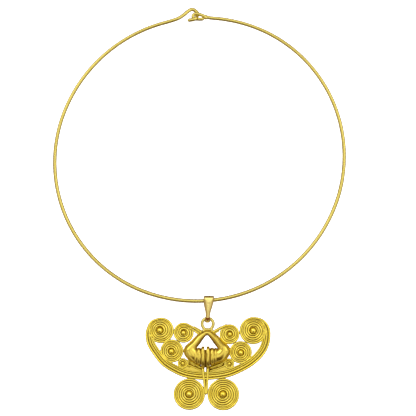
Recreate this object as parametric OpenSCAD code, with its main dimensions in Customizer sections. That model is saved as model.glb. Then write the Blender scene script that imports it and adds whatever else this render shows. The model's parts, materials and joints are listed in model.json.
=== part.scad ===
// Omega necklace: a rigid oval neck wire with hook and eye, a tapered bail, and a cast
// butterfly pendant of spiral discs. Worn upright: +Z up, the front faces -Y.
// The origin is the inside of the neck wire at the nape, where the necklace is held up.

/* [Neck wire] */
// Mean radius of the wire's centre line
ring_r = 68.15; // [60:0.05:76]
// Long diameter less short diameter of the oval
ring_oval = 2.1; // [0.5:0.1:4]
// Tilt of the oval's long axis, rising to the right
ring_tilt = 24; // [10:1:40]
// Diameter of the neck wire
wire_d = 1.5; // [1.3:0.05:1.6]
// Diameter of the hook's wire
hook_d = 1.2; // [1:0.05:1.3]
// Diameter of the eye's wire
eye_d = 1.0; // [0.8:0.05:1.1]
// Half the height of the eye, between wire centres
eye_r = 1.3; // [1.3:0.05:1.5]

/* [Bail] */
// Height of the neck wire's centre above the pendant's pivot
bail_rise = 8.4; // [8:0.1:9]
// Width of the bail at the neck wire
bail_w = 5.0; // [4.4:0.1:5.4]
// Width of the bail at the pivot
bail_tip_w = 2.4; // [2:0.1:2.5]

/* [Pendant] */
// Thickness of the cast plate
plate_t = 1.3; // [1:0.05:1.6]
// Diameter of the wire that runs on from a disc into the band
coil_d = 0.7; // [0.6:0.05:0.72]
// Distance from one turn to the next
coil_pitch = 1.02; // [0.98:0.01:1.1]
// Diameter of the top loop's wire
loop_d = 1.5; // [1.3:0.05:1.6]
// Radius of the top loop at the wire's centre
loop_r = 2.7; // [2.6:0.05:3]
// Distance that the plate lies behind the loop's wire centre
plate_back = 0.3; // [0:0.05:0.6]

/* [Hidden] */
$fn = 72;

// The bail hangs a little right of the ring's lowest point
pivot_x = 3.9;
gold = [0.83, 0.70, 0.30];
pale_gold = [0.90, 0.78, 0.40];

// Oval of four tangent arcs: two of radius end_r, two of radius side_r
oval_k = ring_oval / (sqrt(2) - 1);
end_r = ring_r - oval_k / 2;
side_r = ring_r + oval_k / 2;
arc_shift = oval_k / sqrt(2);

// A point turned about the origin
function turned(p, a) = [p[0] * cos(a) - p[1] * sin(a), p[0] * sin(a) + p[1] * cos(a)];
top_arc_off = turned([0, -arc_shift], ring_tilt);

// The oval's middle lies so that the wire's inside at the nape is at the origin
ring_z = wire_d / 2 - top_arc_off[1] - sqrt(pow(side_r, 2) - pow(top_arc_off[0], 2));
top_arc_c = top_arc_off + [0, ring_z];
low_arc_c = [0, ring_z] - top_arc_off;
function low_z(x) = low_arc_c[1] - sqrt(pow(side_r, 2) - pow(x - low_arc_c[0], 2));
function top_z(x) = top_arc_c[1] + sqrt(pow(side_r, 2) - pow(x - top_arc_c[0], 2));

// Where the ring's wire stops beside the clasp
eye_joint_x = 4.2;
hook_joint_x = -9.6;
eye_end_a = acos((eye_joint_x - top_arc_c[0]) / side_r);
hook_end_a = acos((hook_joint_x - top_arc_c[0]) / side_r);
eye_joint_z = top_z(eye_joint_x);
hook_joint_z = top_z(hook_joint_x);

// The pendant's pivot, in the loop's wire
pivot_z = low_z(pivot_x) - bail_rise;

// Places a drawing made in the X-Z plane, thickness towards the front
module upright() {
    rotate([90, 0, 0]) children();
}

// A round wire along an arc in the drawing plane
module arc_wire(c, r, a0, a1, d) {
    translate([c[0], c[1], 0])
        rotate([0, 0, a0])
            rotate_extrude(angle = a1 - a0)
                translate([r, 0]) circle(d = d);
}

// A straight round wire in the drawing plane, between two points
module rod(p, q, d, h = 0) {
    a = atan2(q[1] - p[1], q[0] - p[0]);
    translate([p[0], p[1], h])
        rotate([0, 0, a]) rotate([0, 90, 0]) cylinder(d = d, h = norm(q - p));
}

// A thin sleeve over the seam of two arcs, at an angle
seam_a = 0.1;
sleeve_l = 1.2;
module sleeve(p, a, d) {
    along = [cos(a), sin(a)] * sleeve_l / 2;
    rod(p - along, p + along, d + 0.06);
}

// A small bead of metal at a wire's end, a little thicker than the wire
module bead(p, d, h = 0) {
    translate([p[0], p[1], h]) sphere(d = d + 0.08);
}

module beaded_rod(p, q, d, h = 0) {
    rod(p, q, d, h);
    bead(p, d, h);
    bead(q, d, h);
}

// Smooth curve through rows of numbers
function blend4(a, b, c, d, t) =
    0.5 * (2 * b + (c - a) * t + (2 * a - 5 * b + 4 * c - d) * t * t
        + (3 * b - a - 3 * c + d) * t * t * t);
function smooth(rows, n) = let (k = len(rows) - 1) concat(
    [for (i = [0:k - 1], j = [0:n - 1])
        blend4(rows[max(i - 1, 0)], rows[i], rows[i + 1], rows[min(i + 2, k)], j / n)],
    [rows[k]]);

// Solid through rings of points, closed at both ends
module skin_rings(rings) {
    m = len(rings[0]);
    k = len(rings) - 1;
    points = [for (ring = rings) each ring];
    sides = [for (i = [0:k - 1], j = [0:m - 1]) let (n = (j + 1) % m) each [
        [i * m + j, i * m + n + m, i * m + n],
        [i * m + j, i * m + j + m, i * m + n + m]]];
    ends = [[for (j = [0:m - 1]) j], [for (j = [m - 1:-1:0]) k * m + j]];
    polyhedron(points = points, faces = concat(sides, ends));
}

// Tube along a path in space, whose round section turns with the path
function unit(v) = v / norm(v);
function along(p, i) = unit(p[min(i + 1, len(p) - 1)] - p[max(i - 1, 0)]);
function carried(n, t) = unit(n - (n * t) * t);
function normals(p, i, n) = let (m = carried(n, along(p, i)))
    i == len(p) - 1 ? [m] : concat([m], normals(p, i + 1, m));
module tube(path, d, sides, blunt = false) {
    ns = normals(path, 0, [0, 1, 0]);
    last = len(path) - 1;
    // The far end is rounded over its last two rings, unless it is sunk in another wire
    function r(i) = d / 2 * (blunt ? 1 : (i == last ? 0.45 : (i == last - 1 ? 0.88 : 1)));
    skin_rings([for (i = [0:last])
        let (t = along(path, i), n = ns[i], b = cross(t, n))
            [for (j = [0:sides - 1]) path[i]
                + r(i) * (cos(360 * j / sides) * n + sin(360 * j / sides) * b)]]);
}

// Neck wire

// The eye is a drop of thinner wire whose two strands meet in a blob of solder
eye_c = [-1.75, eye_joint_z + 0.55];
solder = [eye_joint_x, eye_joint_z];
eye_dir = atan2(solder[1] - eye_c[1], solder[0] - eye_c[0]);
eye_half = acos(eye_r / norm(solder - eye_c));
blob_at = 4.3;
blob_d = 2.0;
blob = eye_c + blob_at * [cos(eye_dir), sin(eye_dir)];

// One strand's end beside the other, at the blob
function strand_end(side) = eye_c + turned([blob_at - 0.4, side * (eye_d / 2 + 0.04)], eye_dir);
eye_path = [for (p = concat(
    [strand_end(1)],
    [for (i = [0:20]) let (a = eye_dir + eye_half + i * (360 - 2 * eye_half) / 20)
        eye_c + eye_r * [cos(a), sin(a)]],
    [strand_end(-1)])) [p[0], p[1], 0]];

module eye() {
    tube(eye_path, eye_d, 12, blunt = true);
    translate([blob[0], blob[1], 0]) sphere(d = blob_d);
    rod(blob, solder, wire_d);
    bead(solder, wire_d);
}

// The hook rises behind the eye, comes forward through it and ends in front, below.
// Columns: X, distance to the front, Z from the eye's middle
hook_clear = eye_r;
hook_rise = [
    for (x = [hook_joint_x - 1, hook_joint_x]) [x, 0, top_z(x) - eye_c[1]],
    [-7.7, -0.3, 0.5],
    [-6.1, -0.8, 2.1],
    [-4.5, -1.2, 3.15],
    [-3.4, -1.35, 3.4],
    [-2.3, -1.4, 3.05],
    [-1.5, -1.4, 2.3],
];
hook_bend = [
    for (a = [10:-25:-65]) [-1.1, -hook_clear * cos(a), eye_r + hook_clear * sin(a)],
    [-1.1, 0, 0],
    for (a = [65:-25:-10]) [-1.15, hook_clear * cos(a), -eye_r + hook_clear * sin(a)],
];
hook_tip = [
    [-1.9, 1.4, -2.0],
    [-3.0, 1.3, -2.15],
    [-4.2, 1.15, -2.1],
    [-5.2, 1.05, -2.1],
    [-5.5, 1.0, -2.1],
    [-5.7, 1.0, -2.1],
];
hook_path = [for (p = smooth(concat(hook_rise, hook_bend, hook_tip), 2))
    [p[0], p[2] + eye_c[1], p[1]]];

module hook() {
    tube(hook_path, hook_d, 10);
}

module neck_wire() {
    color(gold) upright() {
        translate([0, ring_z, 0]) rotate([0, 0, ring_tilt]) {
            arc_wire([arc_shift, 0], end_r, -45 + seam_a, 45 - seam_a, wire_d);
            arc_wire([-arc_shift, 0], end_r, 135 + seam_a, 225 - seam_a, wire_d);
            arc_wire([0, arc_shift], side_r, 225, 315, wire_d);
            arc_wire([0, -arc_shift], side_r, 45, eye_end_a - ring_tilt, wire_d);
            arc_wire([0, -arc_shift], side_r, hook_end_a - ring_tilt, 135, wire_d);
            for (a = [45:90:315])
                sleeve([arc_shift * sign(cos(a)), 0] + end_r * [cos(a), sin(a)], a + 90, wire_d);
        }
        bead([hook_joint_x, hook_joint_z], wire_d);
        eye();
        hook();
    }
}

// Bail

// Side view: two round ends joined by straight legs, in distances from the pivot. The inside
// of the head is centred on the neck wire, which it turns about
bail_head_in = 1.35;
bail_head_out = 2.3;
bail_head_drop = 0.05;
bail_foot_in = 1.3;
bail_foot_out = 2.0;
bail_foot_drop = 0.2;

module drop_shape(top, top_r, foot, foot_r) {
    lean = asin((top_r - foot_r) / (top - foot));
    translate([0, top]) circle(r = top_r);
    translate([0, foot]) circle(r = foot_r);
    polygon([
        [top_r * cos(lean), top - top_r * sin(lean)],
        [-top_r * cos(lean), top - top_r * sin(lean)],
        [-foot_r * cos(lean), foot - foot_r * sin(lean)],
        [foot_r * cos(lean), foot - foot_r * sin(lean)],
    ]);
}

module bail_side() {
    difference() {
        drop_shape(bail_rise - bail_head_drop, bail_head_out, -bail_foot_drop, bail_foot_out);
        drop_shape(bail_rise, bail_head_in, 0, bail_foot_in);
    }
}

// Front view, which leans a little to the right. Columns: height above the pivot, width
bail_lean = 0.45;
BAIL_WIDTHS = [
    [-2.3, bail_tip_w * 0.45],
    [-1.9, bail_tip_w * 0.8],
    [-1.2, bail_tip_w],
    [2.2, bail_tip_w],
    [5.4, bail_w * 0.79],
    [bail_rise + 0.4, bail_w],
    [bail_rise + 4, bail_w],
];
function leaning(z) = bail_lean * z / bail_rise;
module bail_front() {
    n = len(BAIL_WIDTHS) - 1;
    polygon(concat(
        [for (row = BAIL_WIDTHS) [leaning(row[0]) + row[1] / 2, row[0]]],
        [for (i = [n:-1:0]) let (row = BAIL_WIDTHS[i]) [leaning(row[0]) - row[1] / 2, row[0]]]));
}

// A bevel on each side of the front leaves a bright wedge that narrows downwards
bevel_top_z = bail_rise + 0.5;
bevel_low_z = 2.0;
bevel_top_x = 1.25;
bevel_slope = 30;
module bevel() {
    lean = atan(bevel_top_x / (bevel_top_z - bevel_low_z));
    translate([0, -bail_head_out + 0.06, bevel_low_z])
        rotate([0, lean, 0])
            rotate([0, 0, bevel_slope])
                translate([0, -6, -8]) cube([8, 6, 24]);
}

module bail() {
    color(pale_gold) translate([pivot_x, 0, pivot_z])
        difference() {
            intersection() {
                rotate([90, 0, 90])
                    translate([0, 0, -4]) linear_extrude(8) bail_side();
                rotate([90, 0, 0])
                    translate([0, 0, -6]) linear_extrude(12) bail_front();
            }
            for (s = [0, 1]) translate([leaning(bail_rise / 2), 0, 0]) mirror([s, 0, 0]) bevel();
        }
}

// Pendant

// Spiral discs from the pivot. Columns: X, Z, radius, turns, boss radius, boss off centre
DISCS = [
    [-22.2, -5.8, 6.0, 5, 1.45, -0.6],
    [-11.4, -6.9, 4.5, 4, 1.1, -0.2],
    [-17.1, -15.7, 5.05, 4, 1.25, -0.2],
    [-11.8, -21.4, 2.4, 2, 0.85, 0],
    [21.7, -5.9, 6.3, 5, 1.5, 0.2],
    [10.4, -7.5, 4.7, 4, 1.1, 0.1],
    [15.8, -16.2, 5.1, 5, 1.25, 0],
    [10.3, -21.6, 2.4, 2, 0.85, 0],
    [-8.7, -36.2, 7.1, 6, 1.5, -0.2],
    [7.5, -36.3, 7.3, 6, 1.5, -0.3],
];
function disc_at(i) = [DISCS[i][0], DISCS[i][1]];

// Neighbours that are cast together. Columns: first disc, second disc
JOINS = [[0, 1], [1, 2], [0, 2], [2, 3], [4, 5], [5, 6], [4, 6], [6, 7], [8, 9]];
// Discs that the band is cast to
BAND_JOINS = [3, 7, 8, 9];
join_r = 1.15;

module joins() {
    for (j = JOINS) {
        a = disc_at(j[0]);
        b = disc_at(j[1]);
        ra = DISCS[j[0]][2];
        rb = DISCS[j[1]][2];
        translate(a + (b - a) * ra / (ra + rb)) circle(r = join_r);
    }
    for (i = BAND_JOINS) {
        away = unit(band_c - disc_at(i)) * sign(norm(band_c - disc_at(i)) - band_r);
        translate(disc_at(i) + away * DISCS[i][2]) circle(r = join_r);
    }
}

// Ridges of one disc, from the rim inwards, on a thin pad, and its boss
pad_up = 0.02;
pad_under = 0.2;
rim_in = 0.02;
ridge_up = 0.36;
ridge_foot = 0.9;
ridge_top = 0.34;
function ridge(r) = [
    [r - ridge_foot / 2, pad_up],
    [r - ridge_top / 2, ridge_up],
    [r + ridge_top / 2, ridge_up],
    [r + ridge_foot / 2, pad_up],
];
module disc_relief(i) {
    d = DISCS[i];
    opened = len([for (w = WRAPS) if (w[1] == i) 1]);
    translate([d[0], d[1], plate_t / 2]) rotate_extrude() polygon(concat(
        [[0, -pad_under], [0, pad_up]],
        [for (k = [d[3] - 1:-1:opened]) let (r = d[2] - rim_in - ridge_foot / 2 - k * coil_pitch)
            if (r > d[4] + ridge_foot / 2) each ridge(r)],
        [[d[2] - coil_d, -pad_under]]));
    translate([d[0] + d[5], d[1], plate_t / 2 - 0.1]) sphere(r = d[4]);
}

// Crescent band: one wide arc below and a tighter one at each side
band_c = [0, 8.8];
band_r = 38;
band_a = 35;
band_side_r = 18.6;
band_side_c = band_c + (band_r - band_side_r) * [sin(band_a), -cos(band_a)];
band_w = 3.7;

// The three discs whose edges are the band's arcs, inset from its outer edge
band_reach = 60;
module band_disc(inset) {
    intersection() {
        translate(band_c) circle(r = band_r - inset);
        polygon([band_c,
            band_c + band_reach * [-sin(band_a), -cos(band_a)],
            band_c + band_reach * [sin(band_a), -cos(band_a)]]);
    }
    for (s = [-1, 1]) translate([s * band_side_c[0], band_side_c[1]])
        circle(r = band_side_r - inset);
}

// The band's plate ends beside the outer discs, where their turns carry it on
band_top_z = -6.5;
band_half = 32;
band_drop = 33.5;
module band_shape() {
    intersection() {
        difference() {
            band_disc(0.05);
            band_disc(band_w);
        }
        translate([-band_half, band_top_z - band_drop]) square([2 * band_half, band_drop]);
    }
}

// Band wires. The innermost one breaks off where the discs of the wing lie over it.
// Columns: distance in from the outer edge, diameter, half angle of the lower run, first and
// last angle of the run up each side
STRANDS = [
    [0.45, 0.86, band_a, band_a, 88],
    [1.45, 1.0, band_a, band_a, 83],
    [2.42, 0.76, band_a, band_a, 78],
    [3.25, 0.74, 17.5, 49, 72],
];
function low_point(w, a) = band_c + (band_r - w[0]) * [sin(a), -cos(a)];
function side_point(w, a) = band_side_c + (band_side_r - w[0]) * [sin(a), -cos(a)];

// The outer turn of each outer disc opens and runs on as the band's outer wire.
// Columns: side, disc
WRAPS = [
    [-1, 0],
    [1, 4],
];
wrap_d = 0.86;
wrap_x = band_side_c[0] + band_side_r - STRANDS[0][0];
turn_stop = 370;
function wrap_c(w) = [abs(disc_at(w[1])[0]), disc_at(w[1])[1] + turn_r(w) - wrap_r(w)];
function turn_r(w) = DISCS[w[1]][2] - coil_d / 2;
function wrap_r(w) = wrap_x - abs(disc_at(w[1])[0]);
module wraps() {
    for (w = WRAPS) mirror([w[0] < 0 ? 1 : 0, 0, 0]) translate([0, 0, plate_t / 2]) {
        c = wrap_c(w) + [0, wrap_r(w) - turn_r(w)];
        arc_wire(wrap_c(w), wrap_r(w), 0, 90, wrap_d);
        arc_wire(c, turn_r(w), 91.5, turn_stop, coil_d);
        bead(c + [0, turn_r(w)], wrap_d);
        bead(c + turn_r(w) * [cos(turn_stop), sin(turn_stop)], coil_d);
        bead(wrap_c(w) + [wrap_r(w), 0], wrap_d);
    }
}
wrap_rim = 0.3;
wrap_low = 0.5;
wrap_box = 12;
module wrap_shape() {
    for (w = WRAPS) mirror([w[0] < 0 ? 1 : 0, 0]) intersection() {
        translate(wrap_c(w)) circle(r = wrap_r(w) + wrap_rim);
        translate(wrap_c(w) - [0, wrap_low]) square(wrap_box);
    }
}

// Continuous wires run on from the lower run into the sides, a hair thinner, from just inside
side_thinner = 0.03;
side_start = 0.5;
module band_wires() {
    translate([0, 0, plate_t / 2]) {
        for (w = STRANDS) {
            arc_wire(band_c, band_r - w[0], 270 - w[2], 270 + w[2], w[1]);
            for (s = [0, 1]) mirror([s, 0, 0]) {
                arc_wire(band_side_c, band_side_r - w[0], 270 + w[3] - side_start, 270 + w[4],
                    w[1] - side_thinner);
                bead(side_point(w, w[4]), w[1]);
                if (w[3] > w[2]) {
                    bead(low_point(w, w[2]), w[1]);
                    bead(side_point(w, w[3] - side_start), w[1]);
                }
            }
        }
    }
}

// Smooth webs that carry the wires: above the nose ring, below it on the left and on the
// right, and down the stem. Columns: X, Z
WEBS = [
    [[-9.2, -2.6], [-2.4, -6.5], [2.4, -6.3], [7.9, -3.1], [6.4, -6.0], [2.6, -8.2],
        [-3.4, -8.2], [-7.4, -5.4]],
    [[-10.2, -20.0], [-3.0, -23.2], [-2.6, -26.2], [-9.4, -24.9], [-11, -23]],
    [[8.6, -20.3], [0.3, -23.6], [0.2, -26.2], [8.0, -25.0], [9.8, -23]],
    [[-3.0, -25], [-1.7, -36.5], [0.2, -36.5], [0.5, -25]],
];
gap_web_w = 4;
gap_web_h = 9.4;
gap_web_z = -24;
module web_shape() {
    for (w = WEBS) polygon(w);
    translate([gap_x - gap_web_w / 2, gap_web_z]) square([gap_web_w, gap_web_h]);
}

// Straight wires on the webs. Columns: first X, Z, second X, Z, diameter
WEB_WIRES = [
    [-9.05, -2.35, -2.45, -6.35, 1.0],
    [7.9, -2.8, 2.3, -6.2, 1.0],
    [-8.5, -19.6, -2.8, -23.4, 0.8],
    [-8.9, -20.6, -3.3, -24.2, 0.8],
    [7.0, -20.7, 0.5, -23.9, 0.8],
    [7.2, -22.0, 0.6, -25.0, 0.8],
    [-2.6, -24.4, -0.95, -35.4, 1.0],
    [0.15, -24.2, -0.45, -35.4, 1.0],
];
module web_wires() {
    for (w = WEB_WIRES) beaded_rod([w[0], w[1]], [w[2], w[3]], w[4], plate_t / 2);
}

// Top loop: a round ring on two feet that flare into the casting
foot_d = 1.16;
foot_back = 0.05;
foot_top = [1.75, -4.65];
foot_low = [2.7, -7.3];
module top_loop() {
    translate([0, -loop_r, 0])
        rotate_extrude() translate([loop_r, 0]) circle(d = loop_d);
    for (s = [0, 1]) mirror([s, 0, 0]) rod(foot_top, foot_low, foot_d, -foot_back);
}

// Nose ring: a horn that swells from the apex to a flange at each side of the gap.
// Columns: X and Z of the inner edge, X and Z of the outer edge, half depth, X from the middle
ring_mid = -0.35;
horn_front = 0.8;
HORN = [
    [0, -8.2, 0, -5.75, 1.15],
    [1.6, -9.8, 3.5, -7.5, 1.35],
    [3.2, -12.0, 6.6, -10.6, 1.8],
    [4.4, -13.5, 9.2, -13.0, 2.3],
    [4.8, -14.0, 10.9, -15.5, 2.6],
    [4.5, -14.3, 10.3, -18.1, 2.7],
    [4.1, -14.5, 8.1, -20.4, 2.75],
    [3.5, -14.5, 5.4, -21.4, 2.8],
    [2.8, -14.4, 3.2, -21.8, 2.8],
];
horn_half = len(HORN) - 1;
horn_rows = smooth(concat(
    [for (i = [horn_half:-1:1]) let (p = HORN[i]) [-p[0], p[1], -p[2], p[3], p[4]]],
    HORN), 3);
function horn_ring(p, sides) = let (
    c = [p[0] + p[2], p[1] + p[3]] / 2,
    v = [p[2] - p[0], p[3] - p[1]] / 2)
    [for (j = [0:sides - 1]) let (a = 360 * j / sides) [
        c[0] + v[0] * cos(a), c[1] + v[1] * cos(a), horn_front + p[4] * sin(a)]];

// Collars beside the gap: flange, core, rib and narrow rib. Columns: X from the gap's middle,
// thickness, middle Z, half height, half depth
COLLARS = [
    [0.62, 1.45, -18.5, 5.1, 3.2],
    [1.8, 2.8, -18.15, 3.75, 2.7],
    [2.5, 1.65, -18.05, 4.05, 2.95],
    [4.35, 0.8, -17.95, 3.85, 2.85],
];
gap_x = -0.95;
module collar(c) {
    translate([c[0], c[2], horn_front]) rotate([90, 0, 90]) linear_extrude(c[1]) {
        square([2 * (c[3] - c[4]), 2 * c[4]], center = true);
        for (s = [-1, 1]) translate([s * (c[3] - c[4]), 0]) circle(r = c[4]);
    }
}

module nose_ring() {
    translate([ring_mid, 0, 0])
        skin_rings([for (p = horn_rows) horn_ring(p, 16)]);
    for (s = [0, 1])
        translate([gap_x, 0, 0]) mirror([s, 0, 0])
            for (c = COLLARS) collar(c);
}

// Open slot between the two stem wires. Columns: X, Z
SLOT = [[-1.88, -23.6], [-0.6, -23.6], [-0.76, -28.0], [-1.38, -28.0]];
module stem_slot() {
    linear_extrude(3 * plate_t, center = true) polygon(SLOT);
}

module plate_shape() {
    for (d = DISCS) translate([d[0], d[1]]) circle(r = d[2] - 0.12);
    wrap_shape();
    joins();
    band_shape();
    web_shape();
}

module pendant() {
    color(gold) translate([pivot_x, 0, pivot_z]) upright() {
        top_loop();
        translate([0, 0, -plate_back]) difference() {
            union() {
                union() {
                    translate([0, 0, -plate_t / 2]) linear_extrude(plate_t) plate_shape();
                    for (i = [0:len(DISCS) - 1]) disc_relief(i);
                }
                union() {
                    band_wires();
                    wraps();
                }
                union() {
                    web_wires();
                    nose_ring();
                }
            }
            stem_slot();
        }
    }
}

neck_wire();
bail();
pendant();
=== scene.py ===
import json
import math
import bmesh
import bpy
import numpy as np
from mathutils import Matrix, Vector


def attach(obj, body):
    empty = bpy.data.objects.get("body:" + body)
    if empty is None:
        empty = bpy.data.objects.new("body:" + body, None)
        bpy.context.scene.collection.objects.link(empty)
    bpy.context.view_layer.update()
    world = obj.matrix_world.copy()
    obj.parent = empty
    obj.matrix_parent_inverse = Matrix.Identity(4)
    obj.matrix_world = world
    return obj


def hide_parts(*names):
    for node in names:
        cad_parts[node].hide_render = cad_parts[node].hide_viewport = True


# Omega necklace with a cast butterfly pendant. The necklace's sizes are in millimetres and
# become metres in Shape.to_mesh. The floor, the lamps and the camera are in metres. Pendant
# forms are placed from the pendant's pivot: X to the right, Z up, and front towards the viewer,
# which is -Y.

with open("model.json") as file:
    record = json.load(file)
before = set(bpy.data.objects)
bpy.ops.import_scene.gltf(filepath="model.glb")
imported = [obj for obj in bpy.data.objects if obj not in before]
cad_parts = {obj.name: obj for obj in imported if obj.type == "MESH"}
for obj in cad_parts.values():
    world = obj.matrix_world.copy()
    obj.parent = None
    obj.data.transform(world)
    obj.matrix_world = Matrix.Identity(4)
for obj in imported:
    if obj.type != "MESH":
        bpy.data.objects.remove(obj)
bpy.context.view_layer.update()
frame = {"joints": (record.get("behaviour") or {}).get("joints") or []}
joints = {joint["name"]: joint for joint in frame["joints"]}
MM_PER_M = 1000
PIVOT = np.array(joints["pendant_swing"]["pos_m"]) * MM_PER_M
FRONT = np.array([0.0, -1.0, 0.0])
FULL_TURN = 2 * math.pi


# Mesh helpers

# A face with more corners is flat: the side of a slab or the end of a form
QUAD_CORNERS = 4
# Two corners of a slab this close in height are on the same side of it
SAME_HEIGHT = 1e-6
# Square of the share of its radius that a wire's rounded end narrows to
END_LEAST = 0.02
# How far a wire's side faces front where the painted shade of its groove starts, and where it is
# darkest
GROOVE_START = 0.78
GROOVE_FULL = 0.3
# Painted shade between the strands of a twisted pair, and how fast it falls towards their crests
TWIST_SHADE = 0.6
TWIST_FALL = 1.3


class Shape:
    """Points, faces and a painted shade value for each point, gathered from several forms."""

    def __init__(self):
        self.points = []
        self.faces = []
        self.recess = []
        self.count = 0

    def add(self, points, faces, recess=0.0):
        """Takes in one form, with its painted shade as one value for all its points, or one for each.
        """
        points = np.asarray(points, float).reshape(-1, 3)
        values = np.broadcast_to(np.asarray(recess, float).reshape(-1), (len(points),))
        self.points.append(points)
        self.recess.append(values)
        self.faces.extend([tuple(corner + self.count for corner in face) for face in faces])
        self.count += len(points)

    def to_mesh(self, name):
        """One mesh in metres, smooth apart from its flat ends and sides."""
        mesh = bpy.data.meshes.new(name)
        mesh.from_pydata((np.concatenate(self.points) / MM_PER_M).tolist(), [], self.faces)
        mesh.update()
        bm = bmesh.new()
        bm.from_mesh(mesh)
        bmesh.ops.recalc_face_normals(bm, faces=bm.faces)
        bm.to_mesh(mesh)
        bm.free()
        # The painted shade of each point, which the materials read to darken towards their shade
        # colour
        recess = mesh.attributes.new("recess", "FLOAT", "POINT")
        recess.data.foreach_set("value", np.concatenate(self.recess).astype(np.float32))
        mesh.shade_smooth()
        for face in mesh.polygons:
            if len(face.vertices) > QUAD_CORNERS:
                face.use_smooth = False
        return mesh

    def build(self, name, body, material, nodes=()):
        """Makes the piece, which rides on a body and replaces the nodes, if any are given."""
        mesh = self.to_mesh(name)
        mesh.materials.append(material)
        piece = bpy.data.objects.new(name, mesh)
        bpy.context.scene.collection.objects.link(piece)
        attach(piece, body)
        if nodes:
            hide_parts(*nodes)


def grid_faces(rows, columns, looped=False):
    """Quads over rows of points. Each row closes on itself, and looped joins last to first."""
    faces = []
    for row in range(rows if looped else rows - 1):
        here = row * columns
        after = ((row + 1) % rows) * columns
        for column in range(columns):
            beside = (column + 1) % columns
            faces.append((here + column, here + beside, after + beside, after + column))
    return faces


def capped_faces(rows, columns):
    """Quads over rows of points, with one face over the first row and one over the last."""
    last = (rows - 1) * columns
    ends = [tuple(range(columns)), tuple(range(last, last + columns))]
    return grid_faces(rows, columns) + ends


def round_angles(count):
    """Angles at equal steps, once round."""
    return np.arange(count) * FULL_TURN / count


def spline(points, per=10, closed=False):
    """Smooth curve through the points, in a given number of steps from each to the next."""
    points = np.asarray(points, float)
    count = len(points)
    t = (np.arange(per) / per)[:, None]
    curve = []
    for first in range(count if closed else count - 1):
        near = np.arange(first - 1, first + 3)
        near = near % count if closed else np.clip(near, 0, count - 1)
        a, b, c, d = points[near]
        curve.append(0.5 * (2 * b + (c - a) * t + (2 * a - 5 * b + 4 * c - d) * t**2
                            + (3 * b - a - 3 * c + d) * t**3))
    if not closed:
        curve.append(points[-1:])
    return np.concatenate(curve)


def lengths(path):
    """Length along the path up to each of its points."""
    steps = np.linalg.norm(np.diff(path, axis=0), axis=1)
    return np.concatenate([[0.0], np.cumsum(steps)])


def even(path, step):
    """The same curve with points at equal distances, close to the step."""
    reached = lengths(path)
    count = max(int(round(reached[-1] / step)), 2)
    wanted = np.linspace(0, reached[-1], count + 1)
    columns = [np.interp(wanted, reached, path[:, k]) for k in range(path.shape[1])]
    return np.stack(columns, axis=1)


def directions(path):
    """Unit vectors along the path."""
    along = np.gradient(path, axis=0)
    return along / np.linalg.norm(along, axis=1)[:, None]


def carried_frame(path):
    """Side vectors that start at the front and turn as little as they can along the path."""
    along = directions(path)
    sides = []
    side = FRONT
    for way in along:
        side = side - np.dot(side, way) * way
        side = side / np.linalg.norm(side)
        sides.append(side)
    sides = np.array(sides)
    return sides, np.cross(along, sides)


def flat_frame(path):
    """Side vectors for a path that stays nearly in the plane of the drawing."""
    along = directions(path)
    sides = np.cross(along, FRONT)
    sides = sides / np.linalg.norm(sides, axis=1)[:, None]
    return sides, np.cross(sides, along)


def local(points):
    """Pendant points, as rows of X, Z and front, in the object's frame."""
    p = np.asarray(points, float)
    return np.stack([PIVOT[0] + p[:, 0], PIVOT[1] - p[:, 2], PIVOT[2] + p[:, 1]], axis=1)


def flat_local(line, front):
    """A line of X and Z, all at one height to the front, in the object's frame."""
    return local(np.column_stack([line, np.full(len(line), front)]))


def round_ends(reached, first, last):
    """Share of its radius that a wire has at each length, for a round end at each side."""
    near = np.minimum(reached / first, 1)
    far = np.minimum((reached[-1] - reached) / last, 1)
    start = np.sqrt(np.clip(1 - (1 - near) ** 2, END_LEAST, 1))
    return start * np.sqrt(np.clip(1 - (1 - far) ** 2, END_LEAST, 1))


def groove_shade(facing):
    """Painted shade where a wire's side faces its neighbour, darker the further the surface turns from
    the front.
    """
    return np.clip((GROOVE_START - facing) / (GROOVE_START - GROOVE_FULL), 0, 1)


def add_tube(shape, path, radius, sides=20, frame_of=None, laid=0.0, twist=0.0, lobes=0.0,
             recess=0.0):
    """A wire along a path. laid is the share of a full groove's painted shade at its sides. twist is
    the length of one turn of a twisted pair, and lobes the share of the radius its groove takes."""
    count = len(path)
    radius = np.broadcast_to(np.asarray(radius, float), (count,))
    side, up = frame_of if frame_of else flat_frame(path)
    reached = lengths(path)
    angles = round_angles(sides)
    phase = angles[None, :] - (FULL_TURN * reached[:, None] / twist if twist else 0)
    crest = np.abs(np.cos(phase))
    ends = round_ends(reached, radius[0], radius[-1])
    r = (radius * ends)[:, None] * (1 - lobes + lobes * crest)
    points = (path[:, None, :] + side[:, None, :] * (r * np.cos(angles))[:, :, None]
              + up[:, None, :] * (r * np.sin(angles))[:, :, None])
    dark = np.full((count, sides), float(recess))
    if laid:
        facing = (side @ FRONT)[:, None] * np.cos(angles) + (up @ FRONT)[:, None] * np.sin(angles)
        dark = np.maximum(dark, laid * groove_shade(facing))
    if lobes:
        dark = np.maximum(dark, np.clip(TWIST_SHADE - TWIST_FALL * crest, 0, 1))
    shape.add(points, capped_faces(count, sides), dark)


def add_slab(shape, outline, front, back, bevel=0.15, recess=0.0):
    """A flat plate with softened edges, from an outline given as rows of X and Z."""
    bm = bmesh.new()
    face = bm.faces.new([bm.verts.new((x, z, back)) for x, z in outline])
    made = bmesh.ops.extrude_face_region(bm, geom=[face])
    top = [v for v in made["geom"] if isinstance(v, bmesh.types.BMVert)]
    bmesh.ops.translate(bm, verts=top, vec=(0, 0, front - back))
    rim = [e for e in bm.edges if abs(e.verts[0].co.z - e.verts[1].co.z) < SAME_HEIGHT]
    bmesh.ops.bevel(bm, geom=rim, offset=bevel, segments=2, affect="EDGES")
    bm.verts.index_update()
    points = local([v.co[:] for v in bm.verts])
    shape.add(points, [tuple(v.index for v in f.verts) for f in bm.faces], recess)
    bm.free()


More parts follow.
